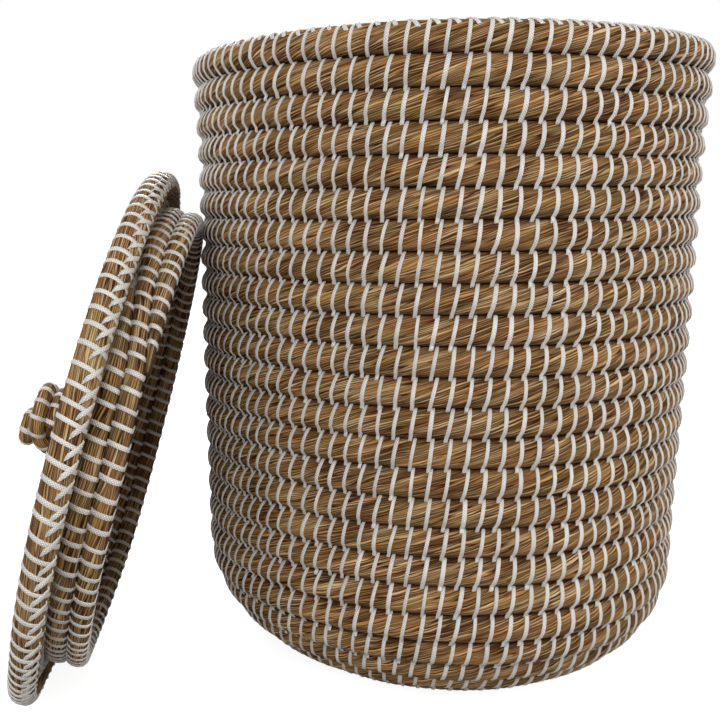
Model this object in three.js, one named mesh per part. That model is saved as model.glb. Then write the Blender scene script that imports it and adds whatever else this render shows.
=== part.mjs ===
// Lidded storage basket of coiled seagrass, bound with pale flat strip.
//
// The basket is one long bundle of grass that starts at a tight knot in the
// middle of the base, spirals out flat, turns up at the heel and climbs the
// wall a coil a turn to the rim.  The lid is a low dome of the same work with
// a thick outer coil that sits on the rim, a skirt of thinner coil that drops
// into the mouth, and a coiled knob.  The lid is off: it stands on the edge of
// its thick coil and leans on the left side of the basket.
//
// Millimetres, +Z up, the origin on the floor under the middle of the base,
// the viewer at -Y.
import * as THREE from 'three';

// Basket
const RIM_RADIUS = 195;        // outside of the wall at the rim
const BASKET_HEIGHT = 470;     // floor to the top of the rim, at the front
const WALL_TAPER = 1.39;       // degrees that the wall leans in towards the base
const HEEL_HEIGHT = 93;        // height of the rounded heel
const HEEL_WIDTH = 112;        // how far the heel rounds in, across the base
const ROW_PITCH = 20;          // one coil to the next, along the wall
const ROW_GAP = 0.6;           // clear space between neighbouring coils
const WALL_THICKNESS = 18;     // coil measured through the wall
const GROOVE_DEPTH = 4;        // groove between two coils, outside
const INSIDE_NARROWING = 1.5;  // a coil is this much narrower inside, each side
const BASE_FLAT = 2;           // depth that the base coil is pressed flat
const START_RADIUS = 9.7;      // knot that the base coil starts from
const VISIBLE_ROWS = 23;       // coils counted up the front, rim included
const RIM_END_ANGLE = 60;      // where the rim coil ends, degrees from +X
const RIM_TAPER_STEPS = 4;     // steps over which the rim coil thins out
const RIM_END_SHARE = 0.3;     // height left at the rim coil's end
const FRONT_ANGLE = -94;       // where BASKET_HEIGHT is measured, degrees
const BASE_STEP_OVER = 4;      // steps in which the base coil's first turns move over

// Lid
const FLANGE_RADIUS = 185.5;   // middle of the thick outer coil
const FLANGE_DIAMETER = 19;
const LID_COILS = 9;           // coils of the lid's top
const LID_THICKNESS = 13;
const LID_GAP = 0.6;           // clear space between neighbouring lid coils
const LID_HOLE = 17;           // radius that the top's coils leave open for the knob
const DOME_RISE = 15;          // middle of the dome above its outer coil
const DOME_POWER = 2.4;        // 2 is a round dome, more is flat with a rounder edge
const HUB_RISE = 8.7;          // what the coils beside the knob rise more than that
const HUB_WIDTH = 12;          // how soon that fades away from the knob
const SKIRT_RADIUS = 161;      // middle of the skirt coil
const SKIRT_PITCH = 13.2;
const SKIRT_THICKNESS = 14;
const SKIRT_SHIFT = 4;         // the skirt is sewn a little off centre
const SKIRT_START = 45;        // degrees round the lid from its near side
const SKIRT_TURNS = 2.05;
const SKIRT_WEDGE = [0.35, 0.95];     // rows that its start takes up, by steps
const SKIRT_SQUEEZED = [1.15, 1.8];   // lower edge of its second turn there, in rows
const STEP_OVER = 2;           // steps in which a lid coil moves over for the next turn
const KNOB_CORD = 11.2;        // diameter of the knob's coil
const KNOB_NECK_RADIUS = 19.5;
const KNOB_WAIST_RADIUS = 20.8;
const KNOB_TOP_RADIUS = 8;
const KNOB_TURN_RISE = 11.9;
const KNOB_TOP_RISE = 10.5;
const KNOB_TOP_SHIFT = -7;     // the top turn lies low on the knob
const KNOB_NECK_RISE = 10.3;   // neck turn above the dome's innermost coil
const KNOB_PLUG_RISE = 2.6;    // from the plug's top up to the wide turn's middle
const KNOB_TURNS = 2.45;
const KNOB_CHANGES = [0.75, 0.5, 1];  // share of each turn where it goes to the next level

// How the lid leans
const LID_LEAN = 13.95;        // degrees off upright
const LID_TURN = -4.58;        // degrees that it is turned about the vertical
const LID_SIDE = -85.7;        // its middle, towards the viewer
const CLEARANCE = 0.3;         // between pieces that touch
const FOOT_LIFT = 0.1;         // the lid's edge above the floor

// Faceting
const STEPS = 20;              // steps in a turn
const KNOB_STEPS = 12;
const RAD = Math.PI / 180;

const grass = (r, g, b, roughness) => {
  const color = new THREE.Color().setRGB(r, g, b, THREE.SRGBColorSpace);
  return new THREE.MeshStandardMaterial({ color, roughness, metalness: 0 });
};
const wallGrass = grass(0.57, 0.45, 0.28, 0.75);
const baseGrass = grass(0.52, 0.41, 0.26, 0.8);
const lidGrass = grass(0.62, 0.48, 0.3, 0.75);

// A bundle carried along a list of stations.  Each station has a point and two
// unit directions, 'out' (through the work) and 'across' (to the next coil),
// and the section is a list of [out, across] corners.  Ends are closed flat.
// What would lie below 'floor' is pressed flat on it.
function bundle(stations, floor = -Infinity) {
  const sides = stations[0].section.length;
  const points = [];
  for (const station of stations) {
    for (const [out, across] of station.section) {
      const corner = station.point.clone();
      corner.addScaledVector(station.out, out);
      corner.addScaledVector(station.across, across);
      corner.z = Math.max(corner.z, floor);
      points.push(corner);
    }
  }
  const index = [];
  for (let i = 0; i + 1 < stations.length; i += 1) {
    for (let j = 0; j < sides; j += 1) {
      const a = i * sides + j;
      const b = i * sides + (j + 1) % sides;
      const c = a + sides;
      const d = b + sides;
      index.push(a, b, d, a, d, c);
    }
  }
  const last = (stations.length - 1) * sides;
  for (let j = 1; j + 1 < sides; j += 1) {
    index.push(0, j + 1, j);
    index.push(last, last + j, last + j + 1);
  }
  // turn the faces outwards whichever way the bundle runs
  let volume = 0;
  for (let k = 0; k < index.length; k += 3) {
    const a = points[index[k]];
    const b = points[index[k + 1]];
    const c = points[index[k + 2]];
    volume += a.dot(b.clone().cross(c));
  }
  if (volume < 0) {
    for (let k = 0; k < index.length; k += 3) {
      const keep = index[k + 1];
      index[k + 1] = index[k + 2];
      index[k + 2] = keep;
    }
  }
  const geometry = new THREE.BufferGeometry();
  const positions = new Float32Array(points.length * 3);
  points.forEach((p, i) => p.toArray(positions, i * 3));
  geometry.setAttribute('position', new THREE.BufferAttribute(positions, 3));
  geometry.setIndex(index);
  geometry.computeVertexNormals();
  return geometry;
}

// Sections, as [out, across] corners.
// A coil of the wall: a ridge outside, pressed flat against its neighbours.
function wallSection(halfAcross) {
  const half = WALL_THICKNESS / 2;
  const inside = halfAcross - INSIDE_NARROWING;
  return [
    [half, 0], [half - GROOVE_DEPTH, halfAcross], [-half, inside],
    [-half, -inside], [half - GROOVE_DEPTH, -halfAcross],
  ];
}

// A coil of the base: flat below where it stands, a ridge inside.
function baseSection(halfAcross) {
  const half = WALL_THICKNESS / 2;
  const flat = halfAcross - BASE_FLAT;
  return [
    [half, -flat], [half, flat], [half - GROOVE_DEPTH, halfAcross],
    [-half, 0], [half - GROOVE_DEPTH, -halfAcross],
  ];
}

// A round bundle of any number of sides, thick through and wide across.
function roundSection(thick, wide, sides) {
  const section = [];
  for (let k = 0; k < sides; k += 1) {
    const turn = 2 * Math.PI * k / sides;
    section.push([thick / 2 * Math.cos(turn), wide / 2 * Math.sin(turn)]);
  }
  return section;
}

// A coil of the lid's top or skirt: a ridge outside, flat to its neighbours.
function ridgeSection(thick, halfAcross) {
  const half = thick / 2;
  return [
    [half, 0], [half * 0.45, halfAcross], [-half, halfAcross],
    [-half, -halfAcross], [half * 0.45, -halfAcross],
  ];
}

// Middle line of the basket's work, from the axis out and up to the rim, as a
// table of arc length, radius and height.
const halfWall = WALL_THICKNESS / 2;
const taper = Math.tan(WALL_TAPER * RAD);
const heelTopRadius = RIM_RADIUS - (BASKET_HEIGHT - HEEL_HEIGHT) * taper;
const floorRadius = heelTopRadius - HEEL_WIDTH;
const profile = [{ s: 0, r: 0, z: halfWall }];
function addToProfile(r, z) {
  const before = profile[profile.length - 1];
  profile.push({ s: before.s + Math.hypot(r - before.r, z - before.z), r, z });
}
addToProfile(floorRadius, halfWall);
for (let k = 1; k <= 60; k += 1) {
  const turn = Math.PI / 2 * k / 60;
  const r = floorRadius + (HEEL_WIDTH - halfWall) * Math.sin(turn);
  addToProfile(r, HEEL_HEIGHT - (HEEL_HEIGHT - halfWall) * Math.cos(turn));
}
const profileTop = BASKET_HEIGHT + 2 * ROW_PITCH;
const profileTopRadius = heelTopRadius - halfWall + (profileTop - HEEL_HEIGHT) * taper;
addToProfile(profileTopRadius, profileTop);

// Point and direction of the middle line at an arc length.
function profileAt(s) {
  let k = 1;
  while (k < profile.length - 1 && profile[k].s < s) k += 1;
  const a = profile[k - 1];
  const b = profile[k];
  const share = (s - a.s) / (b.s - a.s);
  const length = b.s - a.s;
  return {
    r: a.r + (b.r - a.r) * share,
    z: a.z + (b.z - a.z) * share,
    dr: (b.r - a.r) / length,
    dz: (b.z - a.z) / length,
  };
}

// Arc length at which the middle line reaches a height on the wall.
function arcAtHeight(z) {
  const a = profile[profile.length - 2];
  const b = profile[profile.length - 1];
  return a.s + (z - a.z) / (b.z - a.z) * (b.s - a.s);
}

// The basket's coil, as a function of the angle that it has turned through:
// a pitch of arc length a turn, set by the rim's height at the front.
const frontArc = arcAtHeight(BASKET_HEIGHT - ROW_PITCH / 2);
function arcAtAngle(angle) {
  return frontArc + ROW_PITCH * (angle - FRONT_ANGLE) / 360;
}

// Steps are counted back from the rim coil's end, which is step 0.
const stepAngle = (step) => RIM_END_ANGLE + 360 * step / STEPS;
const rowHalf = (ROW_PITCH - ROW_GAP) / 2;
const rimFirstStep = -STEPS;
const wallFirstStep = -VISIBLE_ROWS * STEPS;
const wallFirstArc = arcAtAngle(stepAngle(wallFirstStep));
const coilStart = START_RADIUS + ROW_GAP + rowHalf;
const baseSteps = Math.floor((wallFirstArc - coilStart) / ROW_PITCH * STEPS);

function basketStation(angle, s, section) {
  const { r, z, dr, dz } = profileAt(s);
  const c = Math.cos(angle * RAD);
  const w = Math.sin(angle * RAD);
  return {
    point: new THREE.Vector3(r * c, r * w, z),
    out: new THREE.Vector3(dz * c, dz * w, -dr),
    across: new THREE.Vector3(dr * c, dr * w, dz),
    section,
  };
}

// Shorten a bundle at its start, so that it just clears the piece before it.
function trimStart(stations, amount) {
  const run = stations[1].point.clone().sub(stations[0].point);
  stations[0].point.addScaledVector(run, amount / run.length());
}

// Base: the first turn keeps to the knot and moves over in a few steps, and
// the later ones go over to the wall's even spiral little by little.
const baseStations = [];
for (let k = 0; k <= baseSteps; k += 1) {
  const turn = Math.floor(k / STEPS);
  const part = k / STEPS - turn;
  const over = Math.max(0, (part - 1) * STEPS / BASE_STEP_OVER + 1);
  const even = k / baseSteps;
  const turns = turn + (1 - even) * over + even * part;
  const lastTurn = Math.floor(baseSteps / STEPS);
  const allTurns = lastTurn + (baseSteps / STEPS - lastTurn);
  const s = coilStart + (wallFirstArc - coilStart) * turns / allTurns;
  baseStations.push(basketStation(stepAngle(wallFirstStep - baseSteps + k), s, baseSection(rowHalf)));
}

// Wall: an even spiral up to one turn below the rim coil's end.
const wallStations = [];
for (let step = wallFirstStep; step <= rimFirstStep; step += 1) {
  wallStations.push(basketStation(stepAngle(step), arcAtAngle(stepAngle(step)), wallSection(rowHalf)));
}
trimStart(wallStations, CLEARANCE);

// Rim: the last turn, which thins out where it ends on its own start.
const rimStations = [];
for (let step = rimFirstStep; step <= 0; step += 1) {
  const thinned = Math.max(0, (step + RIM_TAPER_STEPS) / RIM_TAPER_STEPS);
  const half = rowHalf * (1 - (1 - RIM_END_SHARE) * thinned);
  const s = arcAtAngle(stepAngle(step)) - (rowHalf - half);
  rimStations.push(basketStation(stepAngle(step), s, wallSection(half)));
}
trimStart(rimStations, CLEARANCE);

// The lid has a frame of its own: +Z out through the knob, +X the side that is
// near the viewer as it leans, +Y up.
function lidStation(angle, r, z, section, radialOut, shift) {
  const c = Math.cos(angle);
  const w = Math.sin(angle);
  const radial = new THREE.Vector3(c, w, 0);
  const axial = new THREE.Vector3(0, 0, 1);
  return {
    point: new THREE.Vector3(r * c, r * w + shift, z),
    out: radialOut ? radial : axial,
    across: radialOut ? axial : radial,
    section,
  };
}

// How far a coil that keeps to rings has moved over to its next ring.
function ringsAt(step) {
  const turn = Math.floor(step / STEPS);
  return turn + Math.max(0, (step / STEPS - turn - 1) * STEPS / STEP_OVER + 1);
}

// Thick outer coil: one turn, its two ends almost meeting.
const flangeStations = [];
for (let k = 0; k <= STEPS; k += 1) {
  const angle = 2 * Math.PI * (k / STEPS + 0.25);
  const section = roundSection(FLANGE_DIAMETER, FLANGE_DIAMETER, 6);
  flangeStations.push(lidStation(angle, FLANGE_RADIUS, 0, section, true, 0));
}
trimStart(flangeStations, LID_GAP);

// Domed top: rings inside the thick coil, each a step higher, in to the knob.
const topRim = FLANGE_RADIUS - FLANGE_DIAMETER / 2 - LID_GAP;
const topPitch = (topRim - LID_HOLE) / LID_COILS;
const topHalf = (topPitch - LID_GAP) / 2;
const topOuterRadius = topRim - topHalf;
const topInnerRadius = topOuterRadius - topPitch * (LID_COILS - 1);
const dome = (r) => DOME_RISE * (1 - (r / topOuterRadius) ** DOME_POWER)
  + HUB_RISE * Math.exp(-(((r - topInnerRadius) / HUB_WIDTH) ** 2));
const topStations = [];
for (let k = 0; k <= LID_COILS * STEPS - STEP_OVER; k += 1) {
  const r = topOuterRadius - topPitch * ringsAt(k);
  const section = ridgeSection(LID_THICKNESS, topHalf);
  topStations.push(lidStation(2 * Math.PI * k / STEPS, r, dome(r), section, false, 0));
}

// Skirt: rings below the top's outer coil, wound the other way. Its start is a
// wedge that pushes the other turns down, where its end thins out below them.
const skirtTop = -LID_THICKNESS / 2 - CLEARANCE + LID_GAP / 2;
function skirtEdges(k) {
  const turn = Math.floor(k / STEPS);
  const step = k - turn * STEPS;
  if (step >= SKIRT_WEDGE.length) return [turn, turn + 1];
  return [[0, SKIRT_WEDGE[step]], [SKIRT_WEDGE[step], SKIRT_SQUEEZED[step]],
    [SKIRT_SQUEEZED[step], 2]][turn];
}
const skirtStations = [];
for (let k = 0; k <= Math.round(SKIRT_TURNS * STEPS); k += 1) {
  const angle = SKIRT_START * RAD - 2 * Math.PI * k / STEPS;
  const [upper, lower] = skirtEdges(k);
  const z = skirtTop - SKIRT_PITCH * (upper + lower) / 2;
  const half = (SKIRT_PITCH * (lower - upper) - LID_GAP) / 2;
  const section = ridgeSection(SKIRT_THICKNESS, half);
  skirtStations.push(lidStation(angle, SKIRT_RADIUS, z, section, true, SKIRT_SHIFT));
}

// Knob: a neck turn in the dome's middle, a wider one on it and a small one
// on top, round a plug that is the coil's folded start.
const neckHeight = dome(topInnerRadius) + KNOB_NECK_RISE;
const knobLevels = [
  { r: KNOB_NECK_RADIUS, z: neckHeight, shift: 0 },
  { r: KNOB_WAIST_RADIUS, z: neckHeight + KNOB_TURN_RISE, shift: 0 },
  { r: KNOB_TOP_RADIUS, z: neckHeight + KNOB_TURN_RISE + KNOB_TOP_RISE, shift: KNOB_TOP_SHIFT },
];
const knobStations = [];
for (let k = 0; k <= Math.round(KNOB_TURNS * KNOB_STEPS); k += 1) {
  const turn = Math.floor(k / KNOB_STEPS);
  const over = Math.min(1, Math.max(0, (k / KNOB_STEPS - turn - KNOB_CHANGES[turn]) * 4));
  const from = knobLevels[turn];
  const to = knobLevels[Math.min(turn + 1, 2)];
  const r = from.r + (to.r - from.r) * over;
  const z = from.z + (to.z - from.z) * over;
  const shift = from.shift + (to.shift - from.shift) * over;
  const section = roundSection(KNOB_CORD, KNOB_CORD, 6);
  knobStations.push(lidStation(2 * Math.PI * k / KNOB_STEPS, r, z, section, true, shift));
}
const plugRadius = KNOB_NECK_RADIUS - KNOB_CORD / 2 - LID_GAP;
const plugBottom = dome(topInnerRadius) - LID_THICKNESS / 2;
const plugTop = knobLevels[1].z - KNOB_PLUG_RISE;

// A short upright cylinder, faceted like the coils round it.
function plugGeometry(radius, bottom, top, sides) {
  const outline = [
    new THREE.Vector2(0, bottom), new THREE.Vector2(radius, bottom),
    new THREE.Vector2(radius, top), new THREE.Vector2(0, top),
  ];
  return new THREE.LatheGeometry(outline, sides).rotateX(Math.PI / 2);
}

// Points all over a bundle's surface, for measuring.
function surfacePoints(stations, alongCount, roundCount) {
  const corners = stations.map(({ point, out, across, section }) => section.map(([o, a]) => (
    point.clone().addScaledVector(out, o).addScaledVector(across, a))));
  const found = [];
  for (let i = 0; i + 1 < corners.length; i += 1) {
    const sides = corners[i].length;
    for (let j = 0; j < sides; j += 1) {
      for (let u = 0; u < alongCount; u += 1) {
        const a = corners[i][j].clone().lerp(corners[i + 1][j], u / alongCount);
        const next = (j + 1) % sides;
        const b = corners[i][next].clone().lerp(corners[i + 1][next], u / alongCount);
        for (let v = 0; v < roundCount; v += 1) found.push(a.clone().lerp(b, v / roundCount));
      }
    }
  }
  return found;
}

// Least distance between points of one turn and of the next.
function leastGap(name, stations, perTurn) {
  const sides = stations[0].section.length;
  const cells = [];
  for (let i = 0; i + 1 < stations.length; i += 1) {
    cells.push(surfacePoints(stations.slice(i, i + 2), 4, 4));
  }
  let least = Infinity;
  for (let i = 0; i < cells.length; i += 1) {
    for (let j = i + perTurn - 2; j <= Math.min(i + perTurn + 2, cells.length - 1); j += 1) {
      if (j < i + 3) continue;
      for (const p of cells[i]) {
        for (const q of cells[j]) least = Math.min(least, p.distanceToSquared(q));
      }
    }
  }
  console.log(`${name}: least gap to itself ${Math.sqrt(least).toFixed(2)} mm (${sides} sides)`);
}
leastGap('base_coil', baseStations, STEPS);
leastGap('wall_coil', wallStations, STEPS);
leastGap('rim_coil', rimStations, STEPS);
leastGap('lid_top_coil', topStations, STEPS);
leastGap('lid_flange_coil', flangeStations, STEPS);
leastGap('lid_skirt_coil', skirtStations, STEPS);
leastGap('knob_coil', knobStations, KNOB_STEPS);

// Outside of the wall in a direction at a height, facets and grooves included.
function wallRadius(x, y, z) {
  const angle = Math.atan2(y, x) / RAD;
  const rise = ROW_PITCH * Math.cos(WALL_TAPER * RAD);
  const first = BASKET_HEIGHT - ROW_PITCH / 2 + rise * (angle - FRONT_ANGLE) / 360;
  const offRow = z - first - rise * Math.round((z - first) / rise);
  const depth = GROOVE_DEPTH * Math.min(1, Math.abs(offRow) / rowHalf);
  const facet = Math.PI / STEPS;
  const turned = (angle - RIM_END_ANGLE) * RAD / (2 * facet);
  const fromMiddle = (turned - Math.floor(turned) - 0.5) * 2 * facet;
  const outer = RIM_RADIUS - (BASKET_HEIGHT - z) * taper - depth;
  return outer * Math.cos(facet) / Math.cos(fromMiddle);
}

// The lid stands on its thick coil, and is pushed along until it touches.
const lean = LID_LEAN * RAD;
const turned = LID_TURN * RAD;
const away = new THREE.Vector3(Math.sin(turned), Math.cos(turned), 0);
const knobWay = new THREE.Vector3(
  -Math.cos(lean) * Math.cos(turned), Math.cos(lean) * Math.sin(turned), Math.sin(lean),
);
const upWay = new THREE.Vector3().crossVectors(away, knobWay);
const lidTurn = new THREE.Matrix4().makeBasis(away.clone().negate(), upWay, knobWay);
const lidHeight = FLANGE_RADIUS * upWay.z + FLANGE_DIAMETER / 2 + FOOT_LIFT;
const lidPoints = [flangeStations, skirtStations].flatMap((stations) => (
  surfacePoints(stations, 40, 3).map((p) => p.applyMatrix4(lidTurn))));
function lidClear(x) {
  return lidPoints.every((p) => {
    const px = p.x + x;
    const py = p.y + LID_SIDE;
    return Math.hypot(px, py) - wallRadius(px, py, p.z + lidHeight) > CLEARANCE;
  });
}
let clearX = -2 * (RIM_RADIUS + FLANGE_RADIUS);
let touchingX = -RIM_RADIUS;
for (let k = 0; k < 40; k += 1) {
  const x = (clearX + touchingX) / 2;
  if (lidClear(x)) clearX = x;
  else touchingX = x;
}

const basket = new THREE.Group();
function add(group, name, geometry, material) {
  const mesh = new THREE.Mesh(geometry, material);
  mesh.name = name;
  group.add(mesh);
}
const startGeometry = plugGeometry(START_RADIUS, 0, WALL_THICKNESS, STEPS);
add(basket, 'base_start', startGeometry, baseGrass);
add(basket, 'base_coil', bundle(baseStations, 0), baseGrass);
add(basket, 'wall_coil', bundle(wallStations), wallGrass);
add(basket, 'rim_coil', bundle(rimStations), wallGrass);

const lid = new THREE.Group();
add(lid, 'lid_flange_coil', bundle(flangeStations), lidGrass);
add(lid, 'lid_top_coil', bundle(topStations), lidGrass);
add(lid, 'lid_skirt_coil', bundle(skirtStations), lidGrass);
add(lid, 'knob_coil', bundle(knobStations), lidGrass);
add(lid, 'knob_start', plugGeometry(plugRadius, plugBottom, plugTop, KNOB_STEPS), lidGrass);
lid.quaternion.setFromRotationMatrix(lidTurn);
lid.position.set(clearX, LID_SIDE, lidHeight);

const object = new THREE.Group();
object.add(basket, lid);

export default object;
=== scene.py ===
# %% [markdown]
# A lidded storage basket of coiled seagrass.  A coiled basket is one long
# bundle of dry grass laid round and round, and every turn is lashed to the one
# before it with a flat, pale plastic strip.  The looks come from three things:
# the soft rounded coil with a dark groove between its turns, the grass blades
# that lie along it at a slant, and more than three thousand small stitches.
# Each of them is real geometry or a material that follows the coil.
# All shapes are worked out in millimetres, and turned to metres in the mesh.

import bpy
import numpy as np
from mathutils import Matrix, Vector


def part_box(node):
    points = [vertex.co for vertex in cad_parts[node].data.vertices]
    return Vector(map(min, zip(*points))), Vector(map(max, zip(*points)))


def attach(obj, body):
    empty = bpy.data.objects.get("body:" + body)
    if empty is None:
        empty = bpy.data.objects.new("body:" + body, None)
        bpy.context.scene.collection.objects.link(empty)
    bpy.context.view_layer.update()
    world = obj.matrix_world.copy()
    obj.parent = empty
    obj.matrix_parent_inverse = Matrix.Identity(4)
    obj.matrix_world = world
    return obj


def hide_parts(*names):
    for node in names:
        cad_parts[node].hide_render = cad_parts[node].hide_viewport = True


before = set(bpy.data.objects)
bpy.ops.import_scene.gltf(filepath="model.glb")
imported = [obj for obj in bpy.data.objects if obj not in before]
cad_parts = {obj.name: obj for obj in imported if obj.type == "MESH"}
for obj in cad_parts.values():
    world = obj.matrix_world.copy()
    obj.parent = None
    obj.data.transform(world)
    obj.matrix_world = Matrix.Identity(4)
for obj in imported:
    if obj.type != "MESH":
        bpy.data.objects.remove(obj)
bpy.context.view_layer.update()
MM = 0.001
print("CAD nodes:", sorted(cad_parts))

# %% [markdown]
# The camera comes first, so that every later step can be looked at from where
# the photograph was taken: a little below the rim, looking slightly down, with
# the horizon turned by less than a degree.

# %% Camera
IMAGE_SIZE = 720  # pixels, both ways
SENSOR = 36.0  # millimetres
FOCAL_PIXELS = 1064.46
CAMERA_PLACE = (-65.85, -852.6, 364.5)
CAMERA_PITCH = np.radians(8.80)
CAMERA_ROLL = np.radians(0.795)


def add_object(name, data):
    """A new object in the scene."""
    made = bpy.data.objects.new(name, data)
    bpy.context.scene.collection.objects.link(made)
    return made


camera_data = bpy.data.cameras.new("camera")
camera_data.sensor_width = SENSOR
camera_data.lens = FOCAL_PIXELS * SENSOR / IMAGE_SIZE
camera_data.clip_start = 0.01
camera = add_object("camera", camera_data)
tilt = Matrix.Rotation(np.pi / 2 - CAMERA_PITCH, 4, "X") @ Matrix.Rotation(CAMERA_ROLL, 4, "Z")
camera.matrix_world = Matrix.Translation([x * MM for x in CAMERA_PLACE]) @ tilt
bpy.context.scene.camera = camera
print("lens:", round(camera_data.lens, 2), "mm")

# %% [markdown]
# Handwork is never quite even.  A random number for every stitch would look
# like noise, so slow changes are made from random values some way apart,
# joined by smooth steps: the coil swells, thins and wanders over centimetres.

# %% Slow drift, and small helpers
KNOTS = 4096


def beside(*values):
    """Values set side by side in a last axis of their own."""
    return np.stack(np.broadcast_arrays(*values), -1)


def circle(degrees):
    """Cosine and sine of an angle in degrees."""
    return np.cos(np.radians(degrees)), np.sin(np.radians(degrees))


def lengths(points):
    """Distance along a row of points to each of them."""
    return np.r_[0, np.cumsum(np.linalg.norm(np.diff(points, axis=0), axis=1))]


def at_ends(count):
    """A row that is 1 at both its ends and 0 between them."""
    return np.r_[1, np.zeros(count - 2), 1]


def eased(part):
    """A smooth step from 0 to 1."""
    part = np.clip(part, 0, 1)
    return part * part * (3 - 2 * part)


def drift(place, spacing, seed):
    """A slow wave from -1 to 1: random values 'spacing' apart, eased from one to the next."""
    knots = np.random.default_rng(seed).uniform(-1, 1, KNOTS)
    steps = np.asarray(place, float) / spacing
    low = np.floor(steps).astype(int)
    ease = eased(steps - low)
    return knots[low % KNOTS] * (1 - ease) + knots[(low + 1) % KNOTS] * ease


print("drift at 0, 10, 20 mm:", np.round(drift([0, 10, 20], 25, 1), 2))

# %% [markdown]
# Everything on this basket is a skin: a section carried along a path.  One
# function turns any number of such skins into a mesh, so a coil and a thousand
# stitches are made the same way.  The grid of points becomes quads, and each
# end is closed by a ladder of quads across the section.

# %% From skins to a mesh


def quads(grid):
    """Quads of skins whose last corner is the first again: the sides between stations,
    and a ladder over each end.  The grid holds numbers of points, or places in the map."""
    corners = grid.shape[2] - 1
    rung = np.arange(corners // 2 - 1)
    ladder = np.stack([rung, rung + 1, corners - 2 - rung, corners - 1 - rung], -1)
    sides = np.stack([grid[:, :-1, :-1], grid[:, 1:, :-1], grid[:, 1:, 1:], grid[:, :-1, 1:]], 3)
    parts = (sides, grid[:, 0][:, ladder], grid[:, -1][:, ladder[:, ::-1]])
    return np.concatenate([part.reshape(-1, 4, *grid.shape[3:]) for part in parts])


def make_piece(name, made, body, material, nodes=(), crisp=None):
    """One object of closed skins.  'made' holds the skins in millimetres, their map, and
    the value, for each point or skin, that the material reads: painted shade on the
    grass, and each stitch's own lighter or darker tone on a strip.  Edges that turn
    by more than 'crisp' degrees are shaded sharp."""
    skins, uvs, shade = made
    points = skins.reshape(-1, 3)
    number = np.arange(len(points)).reshape(skins.shape[:3])
    faces = quads(np.concatenate([number, number[..., :1]], -1))
    maps = quads(uvs)
    a, b, c, d = (points[faces[:, k]] for k in range(4))
    volume = np.einsum("ij,ij->", a, np.cross(b, c)) + np.einsum("ij,ij->", a, np.cross(c, d))
    if volume < 0:
        faces = faces[:, ::-1]
        maps = maps[:, ::-1]
    mesh = bpy.data.meshes.new(name)
    mesh.vertices.add(len(points))
    mesh.vertices.foreach_set("co", (points * MM).astype(np.float32).ravel())
    mesh.loops.add(faces.size)
    mesh.loops.foreach_set("vertex_index", faces.astype(np.int32).ravel())
    mesh.polygons.add(len(faces))
    mesh.polygons.foreach_set("loop_start", np.arange(0, faces.size, 4, dtype=np.int32))
    mesh.polygons.foreach_set("use_smooth", np.ones(len(faces), bool))
    mesh.update(calc_edges=True)
    layer = mesh.uv_layers.new(name="along_round")
    layer.data.foreach_set("uv", (maps * MM).astype(np.float32).ravel())
    spread = np.broadcast_to(shade, skins.shape[:3]).astype(np.float32)
    mesh.attributes.new("shade", "FLOAT", "POINT").data.foreach_set("value", spread.ravel())
    if crisp:
        mesh.set_sharp_from_angle(angle=np.radians(crisp))
    mesh.materials.append(material)
    piece = add_object(name, mesh)
    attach(piece, body)
    if nodes:
        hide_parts(*nodes)
    print(f"{name}: {len(skins)} skins, {2 * len(faces)} triangles")
    return piece


# %% [markdown]
# Seagrass dries to straw, gold, olive and red brown, often in one blade.  A
# picture of it can't be used here, so the blades are the cells of a Voronoi
# pattern, stretched until each cell is a millimetre wide and several
# centimetres long.  The cell's own random values pick the blade's colour and
# lightness, and the distance to its edge rounds it and leaves the dark gap
# beside it.  The pattern lies in the coil's own map, whose first axis runs along
# the coil and whose second runs round it, and is turned by the twist of the
# bundle.  The value "shade" on the mesh is painted shade: it is 1 down in a
# groove, where the grass is painted dark brown for the shade that falls there,
# and 0 on the ridge.

# %% Node helpers


def add_node(tree, kind, inputs=None, **settings):
    """Adds a node with its settings, each input either a value or another node's socket,
    and gives its outputs."""
    made = tree.nodes.new("ShaderNode" + kind)
    for name, value in settings.items():
        setattr(made, name, value)
    for name, value in (inputs or {}).items():
        socket = made.inputs[name]
        if isinstance(value, bpy.types.NodeSocket):
            tree.links.new(value, socket)
        else:
            socket.default_value = value
    return made.outputs


def number_node(tree, operation, *values):
    """What a math node makes of some values."""
    return add_node(tree, "Math", dict(enumerate(values)), operation=operation)[0]


def vector_node(tree, operation, vector, other):
    """What a vector math node makes of a vector and another one, or a scale."""
    inputs = {0: vector, "Scale" if operation == "SCALE" else 1: other}
    return add_node(tree, "VectorMath", inputs, operation=operation)[0]


def spread_range(tree, value, low, high, to_low, to_high, **settings):
    """A value carried from one range to another."""
    ranges = {
        "Value": value, "From Min": low, "From Max": high, "To Min": to_low, "To Max": to_high}
    return add_node(tree, "MapRange", ranges, **settings)[0]


def stretched(tree, vector, length, width):
    """The map stretched so that a cell of size one is 'length' by 'width' millimetres."""
    scale = (1 / (length * MM), 1 / (width * MM), 1)
    return add_node(tree, "Mapping", {"Vector": vector, "Scale": scale})[0]


def noise(tree, vector, length, width, detail):
    """Flat noise with grains of 'length' by 'width' millimetres."""
    inputs = {"Vector": stretched(tree, vector, length, width), "Scale": 1.0, "Detail": detail}
    return add_node(tree, "TexNoise", inputs, noise_dimensions="2D")


def cells(tree, vector, feature):
    """Flat Voronoi cells of size one."""
    inputs = {"Vector": vector, "Scale": 1.0}
    settings = {"voronoi_dimensions": "2D", "feature": feature}
    return add_node(tree, "TexVoronoi", inputs, **settings)


def linear(red, green, blue):
    """A colour given as 0 to 255 screen values, in the linear values that a shader reads."""
    screen = np.array([red, green, blue]) / 255
    light = np.where(screen <= 0.04045, screen / 12.92, ((screen + 0.055) / 1.055) ** 2.4)
    return (*light, 1.0)


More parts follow.
